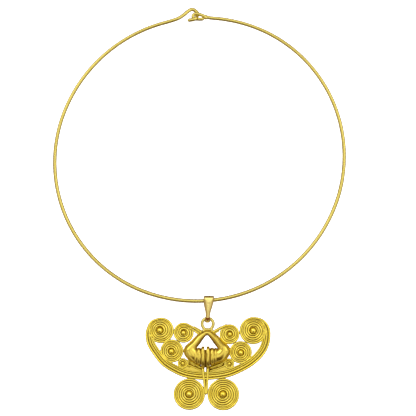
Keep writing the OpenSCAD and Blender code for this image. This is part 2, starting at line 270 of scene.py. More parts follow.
def add_skin(shape, rings, dark):
    """A solid over rings of pendant points, with a list of painted shade values for each ring."""
    faces = capped_faces(len(rings), len(rings[0]))
    shape.add(local(np.concatenate(rings)), faces, np.concatenate(dark))


# Node helpers. A source is the output of another node


def feed(tree, socket, source):
    """Links a socket to a source, or sets it to a constant."""
    if isinstance(source, bpy.types.NodeSocket):
        tree.links.new(source, socket)
    else:
        socket.default_value = source


def worked_out(tree, operation, *terms, clamp=False):
    """One step of arithmetic with sources and constants."""
    step = tree.nodes.new("ShaderNodeMath")
    step.operation = operation
    step.use_clamp = clamp
    for socket, term in zip(step.inputs, terms):
        feed(tree, socket, term)
    return step.outputs["Value"]


def ranged(tree, source, low, high, start, end, soft=True):
    """A source that goes from start to end as it passes from low to high."""
    step = tree.nodes.new("ShaderNodeMapRange")
    step.interpolation_type = "SMOOTHSTEP" if soft else "LINEAR"
    step.inputs["From Min"].default_value = low
    step.inputs["From Max"].default_value = high
    step.inputs["To Min"].default_value = start
    step.inputs["To Max"].default_value = end
    tree.links.new(source, step.inputs["Value"])
    return step.outputs["Result"]


def noise(tree, place, scale, detail):
    """Cloudy values from 0 to 1."""
    clouds = tree.nodes.new("ShaderNodeTexNoise")
    clouds.inputs["Scale"].default_value = scale
    clouds.inputs["Detail"].default_value = detail
    tree.links.new(place, clouds.inputs["Vector"])
    return clouds.outputs["Fac"]


def mixed(tree, share, first, second):
    """A colour between two colours."""
    mix = tree.nodes.new("ShaderNodeMix")
    mix.data_type = "RGBA"
    feed(tree, mix.inputs["A"], first)
    feed(tree, mix.inputs["B"], second)
    tree.links.new(share, mix.inputs["Factor"])
    return mix.outputs["Result"]


# Materials. The scales of noise are per metre

CLOUD_SCALE = 260.0
CLOUD_DETAIL = 4.0
# Range of random stain that the clouds add to the painted shade value or take away
CLOUD_STAIN = 0.22
PIT_DETAIL = 6.0
# Roughness at the glossiest and at the dullest, as shares of the metal's own
GLOSSIEST = 0.75
DULLEST = 1.35
# Roughness that full painted shade adds
RECESS_ROUGH = 0.25
SCRATCH_STRETCH = (1.0, 1.0, 9.0)
SCRATCH_TURN = (0.3, 0.6, 0.4)
SCRATCH_DETAIL = 3.0
# Scale and depth of the scratches, as shares of those of the pits
SCRATCH_SCALE = 0.4
SCRATCH_DEPTH = 0.35
BUMP_DISTANCE = 0.00004


def gold(name, bright, mid, recess, rough, grain, bump):
    """Plated metal with painted brown shade in the recesses, cloudy in tone, finely pitted and
    scratched.
    """
    material = bpy.data.materials.new(name)
    material.use_nodes = True
    tree = material.node_tree
    shader = tree.nodes["Principled BSDF"]
    shader.inputs["Metallic"].default_value = 1.0
    place = tree.nodes.new("ShaderNodeTexCoord").outputs["Object"]
    # The painted shade stored on the mesh
    depth = tree.nodes.new("ShaderNodeAttribute")
    depth.attribute_name = "recess"

    cloud = noise(tree, place, CLOUD_SCALE, CLOUD_DETAIL)
    tone = mixed(tree, cloud, (*mid, 1), (*bright, 1))
    stain = worked_out(tree, "MULTIPLY_ADD", cloud, CLOUD_STAIN, -CLOUD_STAIN / 2)
    # Painted shade, with random stain from the clouds, mixes the tone towards the dark shade colour
    shade_and_stain = worked_out(tree, "ADD", depth.outputs["Fac"], stain, clamp=True)
    colour = mixed(tree, shade_and_stain, tone, (*recess, 1))
    tree.links.new(colour, shader.inputs["Base Color"])

    pits = noise(tree, place, grain, PIT_DETAIL)
    gloss = ranged(tree, pits, 0.0, 1.0, rough * GLOSSIEST, rough * DULLEST, soft=False)
    roughness = worked_out(tree, "MULTIPLY_ADD", shade_and_stain, RECESS_ROUGH, gloss)
    tree.links.new(roughness, shader.inputs["Roughness"])

    stretch = tree.nodes.new("ShaderNodeMapping")
    stretch.inputs["Scale"].default_value = SCRATCH_STRETCH
    stretch.inputs["Rotation"].default_value = SCRATCH_TURN
    tree.links.new(place, stretch.inputs["Vector"])
    scratches = noise(tree, stretch.outputs["Vector"], grain * SCRATCH_SCALE, SCRATCH_DETAIL)
    relief = worked_out(tree, "MULTIPLY_ADD", scratches, SCRATCH_DEPTH, pits)
    bumps = tree.nodes.new("ShaderNodeBump")
    bumps.inputs["Strength"].default_value = bump
    bumps.inputs["Distance"].default_value = BUMP_DISTANCE
    tree.links.new(relief, bumps.inputs["Height"])
    tree.links.new(bumps.outputs["Normal"], shader.inputs["Normal"])
    return material


# The third colour of each gold is the brown of its painted shade
WIRE_GOLD = gold("pale_wire_gold", bright=(0.78, 0.66, 0.19), mid=(0.66, 0.55, 0.12),
                 recess=(0.20, 0.13, 0.03), rough=0.26, grain=900.0, bump=0.35)
BAIL_GOLD = gold("bail_polish", bright=(1.0, 0.88, 0.36), mid=(0.92, 0.76, 0.23),
                 recess=(0.28, 0.07, 0.01), rough=0.2, grain=700.0, bump=0.3)
CAST_GOLD = gold("cast_gold", bright=(0.95, 0.84, 0.19), mid=(0.95, 0.72, 0.035),
                 recess=(0.22, 0.095, 0.002), rough=0.19, grain=1300.0, bump=0.5)
POLISHED_GOLD = gold("polished_gold", bright=(0.80, 0.635, 0.12), mid=(0.70, 0.52, 0.065),
                     recess=(0.16, 0.05, 0.004), rough=0.14, grain=600.0, bump=0.25)


# Neck wire: an oval ring of four arcs, with a hook and an eye at the nape

RING_R = 68.15
RING_OVAL = 2.1
RING_TILT = math.radians(24)
# Radius of the CAD part's wire. At X 0 the ring's centre line passes this far over the origin
WIRE_R = 0.75
ARC_STEP = 2.0
# X where the ring begins beside the hook, and where it ends beside the eye
RING_BEGINS = -16.5
RING_ENDS = 8.6

# Rows of X, Z and front from the nape, from the hook's tip to just before the ring
HOOK = [
    [-5.75, -0.62, 1.15],
    [-5.2, -0.58, 1.2],
    [-3.9, -0.42, 1.28],
    [-2.7, -0.2, 1.3],
    [-1.75, 0.25, 1.2],
    [-1.3, 1.0, 0.55],
    [-1.15, 1.7, -0.4],
    [-0.95, 2.5, -1.05],
    [-0.95, 3.2, -1.2],
    [-1.6, 3.95, -1.15],
    [-2.5, 4.6, -1.05],
    [-3.5, 4.92, -0.95],
    [-4.7, 4.5, -0.8],
    [-6.1, 3.45, -0.55],
    [-7.7, 2.05, -0.25],
    [-10.1, 0.5, -0.05],
    [-13.0, -0.55, 0.0],
]

# From the ring's other end round the eye, whose end lies against its own root
EYE = [
    [5.6, 0.66, 0.0],
    [4.2, 0.95, 0.0],
    [2.7, 1.35, 0.02],
    [1.2, 1.95, 0.05],
    [-0.3, 2.42, 0.08],
    [-1.55, 2.62, 0.1],
    [-2.65, 2.3, 0.08],
    [-3.12, 1.5, 0.02],
    [-2.75, 0.62, -0.02],
    [-1.6, 0.2, -0.05],
    [-0.2, 0.08, -0.05],
    [1.1, 0.12, -0.02],
    [2.35, 0.36, 0.0],
]

# Solder where the eye's end meets its root, its radius at the ends, what its middle adds, and
# the step along it
SOLDER = [
    [2.0, 0.62, 0.1],
    [3.0, 0.86, 0.12],
    [4.15, 0.98, 0.05],
]
SOLDER_R = 0.6
SOLDER_BULGE = 0.36
SOLDER_STEP = 0.1

# Steps of the clasp's curve from row to row, and the step along the finished wire
CLASP_STEPS = 8
NECK_STEP = 0.42
# The wire's radius as it looks at the nape, what it gains low down, by which power of how low
# it is, and the height over which it counts
SEEN_R = 0.87
LOW_GAIN = 0.07
LOW_POWER = 1.5
RING_DROP = 134.0
# It is thinner at the eye: by how much, over which last stretch, and how long the change takes
EYE_LOSS = 0.07
EYE_STRETCH = 9.0
EYE_FADE = 4.0
# Slight unevenness: seed, places along the wire, and spread of the radius
UNEVEN_SEED = 3
UNEVEN_PLACES = 60
UNEVEN_SPREAD = 0.008


def ring_centres():
    """Centre of the oval, steps to the centres of its arcs, and the arcs' two radii."""
    difference = RING_OVAL / (math.sqrt(2) - 1)
    shift = difference / math.sqrt(2)
    end_r = RING_R - difference / 2
    side_r = RING_R + difference / 2
    top = np.array([shift * math.sin(RING_TILT), -shift * math.cos(RING_TILT)])
    right = np.array([shift * math.cos(RING_TILT), shift * math.sin(RING_TILT)])
    middle = np.array([0.0, WIRE_R - top[1] - math.sqrt(side_r**2 - top[0] ** 2)])
    return middle, top, right, end_r, side_r


def ring_path():
    """The ring's centre line from left of the clasp, round below, to its right."""
    middle, top, right, end_r, side_r = ring_centres()
    first = math.acos((RING_BEGINS - top[0]) / side_r)
    last = math.acos((RING_ENDS - top[0]) / side_r)
    eighth = math.radians(45)
    joins = [RING_TILT + k * eighth for k in (3, 5, 7, 9)]
    arcs = [
        (middle + top, side_r, first, joins[0]),
        (middle - right, end_r, joins[0], joins[1]),
        (middle - top, side_r, joins[1], joins[2]),
        (middle + right, end_r, joins[2], joins[3]),
        (middle + top, side_r, joins[3], last + 8 * eighth),
    ]
    runs = []
    for centre, r, start, end in arcs:
        steps = max(int(abs(end - start) * r / ARC_STEP), 2)
        a = np.linspace(start, end, steps, endpoint=False)
        runs.append(np.stack([centre[0] + r * np.cos(a), 0 * a, centre[1] + r * np.sin(a)], axis=1))
    return np.concatenate(runs)


def clasp_points(rows):
    """Rows of X, Z and front from the nape, in the object's frame."""
    p = np.asarray(rows, float)
    return np.stack([p[:, 0], -p[:, 2], p[:, 1]], axis=1)


def neck_path():
    """The whole wire's centre line, from the hook's tip to the eye's end."""
    ring = ring_path()
    hook = spline(np.concatenate([clasp_points(HOOK), ring[:2]]), CLASP_STEPS)
    eye = spline(np.concatenate([ring[-2:], clasp_points(EYE)]), CLASP_STEPS)
    return even(np.concatenate([hook[:-CLASP_STEPS], ring, eye[CLASP_STEPS:]]), NECK_STEP)


def neck_radius(path):
    """The wire's radius at each point of its path."""
    reached = lengths(path)
    low = np.clip(-path[:, 2] / RING_DROP, 0, 1)
    to_end = reached[-1] - reached
    at_eye = np.clip(1 - (to_end - EYE_STRETCH) / EYE_FADE, 0, 1)
    rng = np.random.default_rng(UNEVEN_SEED)
    places = np.linspace(0, reached[-1], UNEVEN_PLACES)
    uneven = np.interp(reached, places, rng.normal(0, UNEVEN_SPREAD, UNEVEN_PLACES))
    return SEEN_R + LOW_GAIN * low**LOW_POWER - EYE_LOSS * at_eye + uneven


def neck_wire():
    """One bent wire from hook to eye, with the eye's solder."""
    shape = Shape()
    path = neck_path()
    add_tube(shape, path, neck_radius(path), sides=24, frame_of=carried_frame(path))
    solder = even(spline(clasp_points(SOLDER)), SOLDER_STEP)
    bulge = np.sin(np.linspace(0, math.pi, len(solder)))
    add_tube(shape, solder, SOLDER_R + SOLDER_BULGE * bulge)
    shape.build("neck_wire_swept", "neck", WIRE_GOLD, ["neck_wire"])


# Bail: a folded strap round the neck wire

# Side outline from the foot's lowest point, up the front, over the neck wire and down the back.
# Columns: front, height above the pivot, width, width of the bright centre facet, wall thickness
BAIL = [
    [0.0, -2.12, 2.3, 1.4, 0.72],
    [0.85, -1.85, 2.5, 1.2, 0.72],
    [1.5, -1.15, 2.4, 0.9, 0.66],
    [1.86, -0.2, 2.2, 0.5, 0.64],
    [1.96, 0.8, 2.15, 0.25, 0.64],
    [2.03, 2.2, 2.25, 0.2, 0.7],
    [2.1, 3.6, 2.75, 0.75, 0.78],
    [2.17, 5.2, 3.6, 1.3, 0.82],
    [2.24, 6.9, 4.35, 1.85, 0.86],
    [2.3, 8.3, 4.85, 2.35, 0.92],
    [2.12, 9.3, 5.0, 3.6, 0.95],
    [1.45, 10.25, 5.02, 4.2, 0.95],
    [0.4, 10.72, 5.0, 4.2, 0.95],
    [-0.7, 10.6, 5.0, 4.2, 0.95],
    [-1.65, 9.95, 5.0, 4.0, 0.92],
    [-2.2, 8.8, 4.95, 3.6, 0.88],
    [-2.3, 7.4, 4.75, 3.2, 0.84],
    [-2.15, 5.0, 3.7, 2.4, 0.8],
    [-2.02, 2.4, 2.3, 1.7, 0.7],
    [-1.9, 0.2, 2.15, 1.6, 0.62],
    [-1.5, -1.15, 2.4, 1.6, 0.66],
    [-0.8, -1.88, 2.45, 1.5, 0.72],
]
BAIL_STEP = 0.12
# Shift to the right for each millimetre of height
BAIL_LEAN = 0.055
# The bevel drops by this share of its width, and no more than this share of the wall, so that
# the head turns free of the neck wire
BEVEL_SLOPE = 0.7
BEVEL_IN_WALL = 0.75
# Painted shade on the bevels and inside the strap
BEVEL_SHADE = 0.36
INSIDE_SHADE = 0.8
# Crisp corner between facet and bevel: half its width and its drop, and the facet's crown
CREASE = 0.03
CREASE_DROP = 0.012
CROWN = 0.01
# Softened outer edge and rounded lip inside
EDGE_IN = 0.07
EDGE_DROP = 0.10
LIP_IN_WALL = 0.04
LIP_DROP = 0.25
LIP_IN = 0.1
LIP_ROUND = 0.06
INSIDE_DEPTH = 0.1
# Painted brown shadow on the front of the foot: middle height, half height, fade and least front
SHADOW_MIDDLE = -0.12
SHADOW_REACH = 0.62
SHADOW_FADE = 0.2
SHADOW_FRONT = 0.3


def bail_section(width, facet, wall):
    """Points across the strap, as the distance from its middle and the depth below its face."""
    half = width / 2
    flat = facet / 2
    drop = min((half - flat) * BEVEL_SLOPE, wall * BEVEL_IN_WALL)
    lip = max(wall + LIP_IN_WALL, drop + LIP_DROP)
    outer = [(half, drop + EDGE_DROP), (half - EDGE_IN, drop), (flat + CREASE, CREASE_DROP),
             (flat - CREASE, 0.0)]
    inner = [(half, lip), (half - LIP_IN, lip + LIP_ROUND)]
    other_outer = [(-across, deep) for across, deep in outer]
    other_inner = [(-across, deep) for across, deep in inner[::-1]]
    return (other_outer + [(0.0, -CROWN)] + outer[::-1]
            + inner + [(0.0, wall + INSIDE_DEPTH)] + other_inner)


def bail_shade(across, deep, front, height, facet, wall):
    """Painted shade: a shadow at the front of the foot, dark inside, and a little darker on the
    bevels.
    """
    shadowed = 0.0
    if front > SHADOW_FRONT:
        shadowed = np.clip((SHADOW_REACH - abs(height - SHADOW_MIDDLE)) / SHADOW_FADE, 0, 1)
    inside = INSIDE_SHADE if deep > wall else 0.0
    bevel = BEVEL_SHADE if abs(across) > facet / 2 + CREASE / 3 else 0.0
    return max(shadowed, inside, bevel)


def bail():
    """The strap, swept once round its side outline."""
    rows = even(spline(BAIL, per=12, closed=True), BAIL_STEP)
    along = directions(rows[:, :2])
    inward = np.stack([-along[:, 1], along[:, 0]], axis=1)
    points = []
    dark = []
    for row, way in zip(rows, inward):
        front, height, width, facet, wall = row
        section = bail_section(width, facet, wall)
        middle = PIVOT[0] + BAIL_LEAN * height
        for across, deep in section:
            place = row[:2] + way * deep
            points.append((middle + across, PIVOT[1] - place[0], PIVOT[2] + place[1]))
            dark.append(bail_shade(across, deep, front, height, facet, wall))
    shape = Shape()
    shape.add(points, grid_faces(len(rows), len(section), looped=True), dark)
    shape.build("bail_strap", "bail", BAIL_GOLD, ["bail"])


# Pendant: one casting, made here as nine pieces that ride together

PLATE_FRONT = 0.35
PLATE_BACK = -0.95

# Spiral discs. Columns: X, Z, radius, pitch of the turns, boss radius, boss off centre in X
# and Z, direction of the spiral, angle of its outer end
DISCS_LEFT = [
    [-22.2, -5.75, 6.12, 1.0, 1.42, -0.75, 0.1, 1, 200],
    [-11.45, -6.85, 4.82, 1.04, 1.1, -0.1, 0.0, -1, 20],
    [-17.05, -15.55, 5.5, 0.98, 1.25, -0.25, -0.1, 1, 160],
    [-11.85, -21.4, 2.5, 0.9, 0.85, 0.0, 0.0, 1, 30],
]
DISCS_RIGHT = [
    [21.6, -5.9, 6.47, 1.03, 1.42, 0.1, 0.1, -1, 340],
    [10.4, -7.6, 4.77, 1.04, 1.1, 0.2, 0.1, 1, 150],
    [15.7, -16.2, 5.35, 0.98, 1.25, 0.0, -0.1, -1, 20],
    [10.25, -21.55, 2.5, 0.9, 0.8, 0.0, 0.0, -1, 150],
]
DISCS_TAIL = [
    [-8.75, -36.15, 7.5, 1.04, 1.5, -0.15, 0.25, 1, 40],
    [7.45, -36.25, 7.6, 1.04, 1.5, -0.3, 0.3, -1, 140],
]
# A disc with a radius up to this has fewer steps round
SMALL_DISC = 3
ROUND_STEPS = 168
SMALL_ROUND_STEPS = 96

# A disc's back, from its middle to its rim, with painted shade on the back and side. Columns: share of
# the radius, distance further in, height, painted shade
DISC_BACK = [
    [0.0, -0.3, PLATE_BACK + 0.16, 0.25],
    [0.6, 0.0, PLATE_BACK + 0.1, 0.25],
    [1.0, 0.3, PLATE_BACK, 0.25],
    [1.0, 0.12, PLATE_BACK + 0.12, 0.25],
    [1.0, 0.02, -0.4, 0.25],
    [1.0, 0.0, PLATE_FRONT - 0.25, 0.6],
]

# The coiled wire: the groove's height, the ridge's rise, and how deep it sinks at the boss
GROOVE_HEIGHT = PLATE_FRONT - 0.1
RIDGE_RISE = 0.44
BOSS_SINK = 0.12
RINGS_PER_TURN = 10
# The outermost turn is a closed ring, and the spiral sets in over the next one
SPIRAL_FROM = 0.9
SPIRAL_OVER = 0.8
# The ridge fades out over this share of a turn at the boss
RIDGE_FADE = 0.42
# The painted shade in the groove starts this share of a turn from the ridge's crest, and is full soon
# after
GROOVE_FROM = 0.3
GROOVE_OVER = 0.1
# Unevenness of a coil made by hand: waves round it, their spread, their greatest shift in
# radians, and their weight
WOBBLE_WAVES = range(1, 5)
WOBBLE_SPREAD = 0.015
WOBBLE_SHIFT = 6
WOBBLE_WEIGHT = 0.35

# The ball in the middle: the moat's height, the ball's foot, its rise as a share of its
# radius, the gap to the coil, the ball's rings, the angle from its top where they end, how many
# of them lie in the moat, and the moat's painted shade
MOAT_HEIGHT = PLATE_FRONT - 0.2
BOSS_FOOT = GROOVE_HEIGHT + 0.25
BOSS_RISE = 0.92
BOSS_GAP = 0.02
BOSS_RINGS = 12
BOSS_TOP = 0.08
MOAT_RINGS = 2
MOAT_SHADE = 0.9


def disc_wobble(seed, angles):
    """Unevenness of the coil at each angle."""
    rng = np.random.default_rng(seed)
    return sum(rng.normal(0, WOBBLE_SPREAD) * np.cos(k * angles + rng.uniform(0, WOBBLE_SHIFT))
               for k in WOBBLE_WAVES)


def disc_back(radius, angles):
    """Rings over the back, from the middle to the rim, as radius, heights and painted shade."""
    around = len(angles)
    return [(radius * share - inset, np.full(around, height), np.full(around, recess))
            for share, inset, height, recess in DISC_BACK]


def disc_coil(row, angles):
    """Rings over the spiral ridge, from the rim to the boss, with painted shade in the groove and
    where the ridge fades.
    """
    x, _, radius, pitch, boss, _, _, turn, start = row
    spin = ((turn * (angles - math.radians(start))) / FULL_TURN) % 1.0
    wobble = disc_wobble(int(abs(x * 100)), angles)
    rings = []
    count = int((radius - boss) / pitch * RINGS_PER_TURN)
    for r in np.linspace(radius, boss + BOSS_GAP, count):
        turns_in = (radius - r) / pitch
        blend = np.clip((turns_in - SPIRAL_FROM) / SPIRAL_OVER, 0, 1)
        fade = np.clip((r - boss) / (RIDGE_FADE * pitch), 0, 1)
        phase = (turns_in + blend * (spin + WOBBLE_WEIGHT * wobble)) % 1.0
        ridge = np.sqrt(np.clip(1 - ((phase - 0.5) / 0.5) ** 2, 0, 1))
        height = GROOVE_HEIGHT + RIDGE_RISE * ridge * fade**0.5 - BOSS_SINK * (1 - fade)
        groove = np.clip((np.abs(phase - 0.5) - GROOVE_FROM) / GROOVE_OVER, 0, 1)
        rings.append((r, height, np.maximum(groove, 1 - fade)))
    return rings


def disc_boss(boss, angles):
    """Rings over the ball in the middle, which rises from a moat painted dark as shade."""
    around = len(angles)
    rings = []
    for k, r in enumerate(boss * np.sin(np.linspace(math.pi / 2, BOSS_TOP, BOSS_RINGS))):
        height = BOSS_FOOT + boss * BOSS_RISE * math.sqrt(max(1 - (r / boss) ** 2, 0))
        if k == 0:
            height = MOAT_HEIGHT
        recess = MOAT_SHADE if k < MOAT_RINGS else 0.0
        rings.append((r, np.full(around, height), np.full(around, recess)))
    return rings


def add_disc(shape, row):
    """A coiled wire soldered flat, as a solid coin with one spiral ridge and a ball boss."""
    x, z, radius, _, boss, off_x, off_z, _, _ = row
    angles = round_angles(ROUND_STEPS if radius > SMALL_DISC else SMALL_ROUND_STEPS)
    back = [(*ring, 0.0) for ring in disc_back(radius, angles)]
    front = disc_coil(row, angles) + disc_boss(boss, angles)
    # Towards the middle of the front, the rings move off centre with the boss
    front = [(*ring, 1 - ring[0] / radius) for ring in front]
    rings = []
    dark = []
    for r, height, recess, share in back + front:
        across = x + off_x * share + r * np.cos(angles)
        up = z + off_z * share + r * np.sin(angles)
        rings.append(np.stack([across, up, height], axis=1))
        dark.append(recess)
    add_skin(shape, rings, dark)


def pendant_discs():
    """The discs of the two wings and those below. Together they replace the CAD pendant."""
    for name, rows in (("discs_left", DISCS_LEFT), ("discs_right", DISCS_RIGHT),
                       ("discs_tail", DISCS_TAIL)):
        shape = Shape()
        for row in rows:
            add_disc(shape, row)
        shape.build(name, "pendant", CAST_GOLD, ["pendant"])


# Outer edge of the crescent band as rows of X and Z, from the left wing's top round below
BAND_EDGE = [
    [-23.6, 0.15], [-27.0, -1.3], [-28.8, -4.4], [-29.5, -8.0], [-28.6, -12.7],
    [-25.7, -17.5], [-21.8, -22.2], [-17.0, -25.4], [-10.6, -28.1], [-1.1, -29.2],
    [8.7, -28.2], [15.4, -25.8], [21.7, -22.2], [26.6, -17.5], [29.1, -12.7],
    [29.8, -8.0], [29.3, -4.2], [27.2, -1.2], [24.0, 0.35], [20.2, 0.6],
]
EDGE_STEP = 0.25

# Wires of the band. Columns: inset from the edge, radius, twist in mm or 0, first and last
# share, height of the centre over the plate
BAND_WIRES = [
    [0.44, 0.56, 0.0, 0.0, 1.0, 0.04],
    [1.68, 0.6, 1.28, 0.07, 0.93, -0.14],
    [2.68, 0.34, 0.0, 0.10, 0.90, 0.1],
    [3.44, 0.34, 0.0, 0.12, 0.88, 0.1],
]
STRAND_STEP = 0.13
STRAND_LOBES = 0.2
# Painted shade at the twisted strand's sides, as a share of a full groove's
STRAND_LAID = 0.6
BAND_STEP = 0.3
# Painted shade at the plain wires' sides, as a share of a full groove's
BAND_LAID = 0.75

# Strip under the wires: insets of its two sides, first and last share, depth under the plate's
# front, and the painted shade at its back and at its front
STRIP_OUTER = 0.3
STRIP_INNER = 3.7
STRIP_SHARES = (0.05, 0.95)
STRIP_DEPTH = 0.05
STRIP_SHADE = (0.3, 0.9)


def band_line(inset):
    """The band's edge moved inwards."""
    edge = even(spline(BAND_EDGE, per=12), EDGE_STEP)
    along = directions(edge)
    inward = np.stack([-along[:, 1], along[:, 0]], axis=1)
    return edge + inward * inset


def cut(line, low, high):
    """The stretch of a line between two shares of its points."""
    count = len(line)
    return line[int(count * low):int(count * high)]


def add_strip(shape):
    """The ground that the band's wires lie on, painted dark as the shade between them."""
    outer = cut(band_line(STRIP_OUTER), *STRIP_SHARES)
    inner = cut(band_line(STRIP_INNER), *STRIP_SHARES)
    top = PLATE_FRONT - STRIP_DEPTH
    corners = [(outer, PLATE_BACK), (outer, top), (inner, top), (inner, PLATE_BACK)]
    rows = [np.column_stack([line, np.full(len(line), height)]) for line, height in corners]
    points = np.stack(rows, axis=1).reshape(-1, 3)
    at_back, at_front = STRIP_SHADE
    dark = np.tile([at_back, at_front, at_front, at_back], len(outer))
    shape.add(local(points), capped_faces(len(outer), len(corners)), dark)


def band():
    """The crescent of parallel wires, one of them a twisted strand, with painted shade between them.
    """
    shape = Shape()
    for inset, radius, twist, low, high, lift in BAND_WIRES:
        path = flat_local(cut(band_line(inset), low, high), PLATE_FRONT + lift)
        if twist:
            path = even(path, STRAND_STEP)
            add_tube(shape, path, radius, sides=18, laid=STRAND_LAID, twist=twist,
                     lobes=STRAND_LOBES)
        else:
            add_tube(shape, even(path, BAND_STEP), radius, sides=16, laid=BAND_LAID)
    add_strip(shape)
    shape.build("band", "pendant", CAST_GOLD)


# Right arm of the nose ring from the top to the gap, mirrored for the left. Columns: X and Z of
# the inner edge, X and Z of the outer edge, half depth. X counts from the ring's middle
HORN = [
    [0.0, -8.1, 0.0, -5.6, 1.3],
    [1.6, -9.6, 4.1, -7.3, 1.6],
    [3.2, -11.9, 7.6, -10.6, 2.1],
    [4.5, -13.5, 10.4, -13.2, 2.5],
    [4.8, -14.1, 11.25, -15.6, 2.7],
    [4.5, -14.4, 10.3, -18.1, 2.8],
    [4.1, -14.6, 8.1, -20.4, 2.8],
    [3.5, -14.7, 5.4, -21.4, 2.8],
    [2.8, -14.7, 3.2, -21.9, 2.75],
]
# The ring's middle, across and to the front
RING_MID = -0.3
RING_FRONT = 0.8
SECTION_STEPS = 56
# The arms have a keel. It sets in above this Z of the outer edge and is full this much higher
KEEL_Z = -15.0
KEEL_OVER = 5.0
KEEL = 0.3
# Painted shade on their flank towards the hole: how much, from which share across, and how soon
FLANK_SHADE = 0.45
FLANK_FROM = 0.1
FLANK_OVER = 0.5

# Flange and ribs beside the gap. Columns: distance from the gap's middle, half height,
# half depth, Z of the middle
COLLARS = [
    [0.52, 4.9, 2.8, -18.5],
    [0.62, 5.12, 2.9, -18.5],
    [1.2, 5.22, 2.98, -18.5],
    [1.75, 5.1, 2.92, -18.45],
    [1.98, 4.5, 2.68, -18.35],
    [2.12, 3.9, 2.4, -18.2],
    [2.3, 4.0, 2.56, -18.15],
    [2.7, 4.22, 2.82, -18.15],
    [3.2, 4.3, 2.88, -18.15],
    [3.7, 4.2, 2.8, -18.1],
    [4.02, 3.82, 2.6, -18.1],
    [4.2, 3.76, 2.55, -18.05],
    [4.4, 3.95, 2.85, -18.0],
    [4.8, 4.02, 2.95, -17.95],
    [5.2, 3.9, 2.82, -17.9],
    [5.5, 3.4, 2.4, -17.9],
    [6.3, 2.8, 2.0, -17.8],
]
GAP_X = -1.05
# The ribs' section is a little squarer than an ellipse
RIB_POWER = 0.85
# Rows to either side that a rib's depth is compared with, the difference that gives full painted
# shade, and that shade
RIB_REACH = 8
RIB_STEP = 0.5
RIB_SHADE = 0.85


def section_of(angles, power):
    """An ellipse's cosine and sine to a power: squarer under 1, with a keel over 1."""
    across = np.cos(angles)
    deep = np.sin(angles)
    return np.sign(across) * np.abs(across) ** power, np.sign(deep) * np.abs(deep) ** power


def add_arms(shape, angles):
    """Both arms of the nose ring, from the left side of the gap over the top to the right."""
    left = [[-xi, zi, -xo, zo, depth] for xi, zi, xo, zo, depth in HORN[:0:-1]]
    rings = []
    dark = []
    for xi, zi, xo, zo, depth in spline(left + HORN, per=10):
        arm = np.clip((zo - KEEL_Z) / KEEL_OVER, 0, 1)
        across, deep = section_of(angles, 1 + KEEL * arm)
        x = (xi + xo) / 2 + (xi - xo) / 2 * across + RING_MID
        z = (zi + zo) / 2 + (zi - zo) / 2 * across
        rings.append(np.stack([x, z, RING_FRONT + depth * deep], axis=1))
        dark.append(FLANK_SHADE * arm * np.clip((across - FLANK_FROM) / FLANK_OVER, 0, 1))
    add_skin(shape, rings, dark)


def add_collar(shape, angles, side):
    """The flange and ribs on one side of the gap, with painted shade between the ribs."""
    profile = spline(COLLARS, per=6)
    depths = profile[:, 2]
    across, deep = section_of(angles, RIB_POWER)
    rings = []
    dark = []
    for k, (distance, half_height, depth, middle_z) in enumerate(profile):
        x = np.full(len(angles), GAP_X + side * distance)
        rings.append(np.stack([x, middle_z + half_height * across, RING_FRONT + depth * deep], axis=1))
        near = depths[max(0, k - RIB_REACH):k + RIB_REACH + 1].max()
        pinched = np.clip((near - depth) / RIB_STEP, 0, 1)
        dark.append(np.full(len(angles), pinched * RIB_SHADE))
    add_skin(shape, rings, dark)


def nose_ring():
    """The polished ring at the centre, open below between two flanges."""
    shape = Shape()
    angles = round_angles(SECTION_STEPS)
    add_arms(shape, angles)
    for side in (-1, 1):
        add_collar(shape, angles, side)
    shape.build("nose_ring_polished", "pendant", POLISHED_GOLD)


# Top loop: radius and middle of its round, the angles where it ends, its two feet as rows of
# X, Z and front, and the bar that closes it below
LOOP_R = 2.68
LOOP_Z = -2.66
LOOP_ANGLES = (-52, 232)
LOOP_POINTS = 80
LOOP_STEP = 0.22
LOOP_FOOT = [
    [2.35, -6.9, 0.25],
    [2.05, -6.0, 0.15],
    [1.72, -5.2, 0.05],
]
LOOP_WIRE_R = 0.75
LOOP_BAR = [
    [-1.6, -5.35, 0.0],
    [0.0, -5.3, 0.1],
    [1.6, -5.35, 0.0],
]
LOOP_BAR_R = 0.72
LOOP_BAR_STEP = 0.1


def top_loop():
    """The omega-shaped loop that hangs in the bail's foot."""
    shape = Shape()
    start, end = LOOP_ANGLES
    a = np.linspace(math.radians(start), math.radians(end), LOOP_POINTS)
    arc = np.stack([LOOP_R * np.cos(a), LOOP_Z + LOOP_R * np.sin(a), 0 * a], axis=1)
    other_foot = [[-x, z, front] for x, z, front in LOOP_FOOT[::-1]]
    # The arc's outermost points give way to the feet
    line = spline(LOOP_FOOT + arc.tolist()[2:-2] + other_foot, per=4)
    add_tube(shape, even(local(line), LOOP_STEP), LOOP_WIRE_R, sides=24)
    add_tube(shape, even(local(spline(LOOP_BAR)), LOOP_BAR_STEP), LOOP_BAR_R)
    shape.build("top_loop_wire", "pendant", WIRE_GOLD)


# Smooth plates above the nose ring and at both sides below it, as outlines of X and Z
PLATES = [
    [[-6.6, -3.6], [-2.4, -6.0], [2.4, -6.0], [6.4, -3.7], [5.4, -6.4], [2.6, -8.0],
     [-3.2, -8.0], [-6.4, -6.4]],
    [[-10.2, -19.6], [-3.0, -22.6], [-2.4, -26.2], [-10.5, -25.2], [-12.4, -23.5]],
    [[8.6, -20.0], [0.3, -22.8], [0.2, -26.2], [9.3, -25.4], [11.2, -23.6]],
]

# Ground between the flanges, painted dark as the shade in the slot, as an outline of X and Z
GAP_BED = [[GAP_X - 1.2, -23.2], [GAP_X - 1.2, -15.0], [GAP_X + 1.2, -15.0], [GAP_X + 1.2, -23.2]]

# Sunk ground between the two wires of the stem, painted dark as shade, as an outline of X and Z
STEM_BED = [[-2.5, -27.3], [-1.7, -33.0], [-1.1, -36.5], [-0.6, -36.5], [-0.15, -33.0],
            [0.15, -27.3]]

